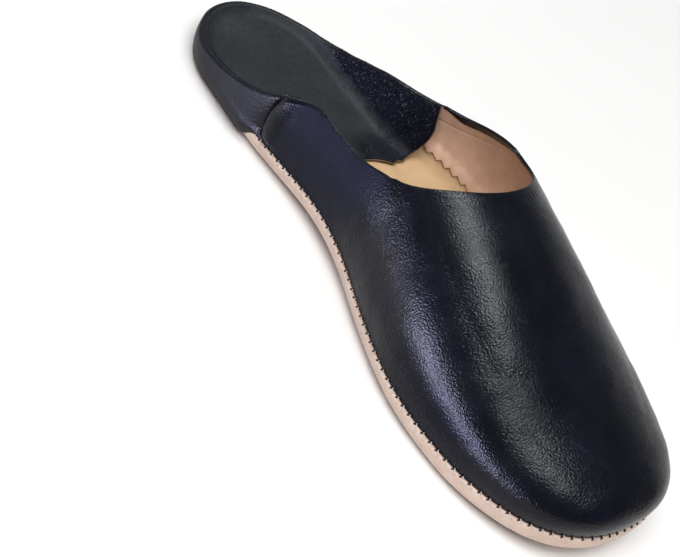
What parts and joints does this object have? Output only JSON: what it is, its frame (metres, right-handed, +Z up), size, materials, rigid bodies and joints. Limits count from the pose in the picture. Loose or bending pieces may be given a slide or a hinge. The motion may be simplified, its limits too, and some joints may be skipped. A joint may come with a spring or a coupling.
{
  "type": "babouche slipper",
  "caption": "Flat leather babouche slipper for the left foot, with a rounded toe, a low stitched sole, an open collar and a trodden-down back folded over the insole.",
  "frame": {"origin": "centre of the footprint's box on the floor", "axes": "+Z up, toe towards -Y, heel towards +Y, inner side of the left foot towards -X"},
  "size_m": [0.1079, 0.284, 0.0624],
  "materials": {
    "upper_leather": "glossy navy-black goatskin with fine grain",
    "sole_leather": "matte undyed pinkish tan sole leather",
    "insole_leather": "matte yellow-tan insole leather",
    "lining_leather": "matte pinkish beige lining leather",
    "stitch_thread": "off-white waxed thread"
  },
  "bodies": {
    "root": {"outsole": "sole_leather", "insole": "insole_leather", "upper": "upper_leather"}
  },
  "joints": []
}
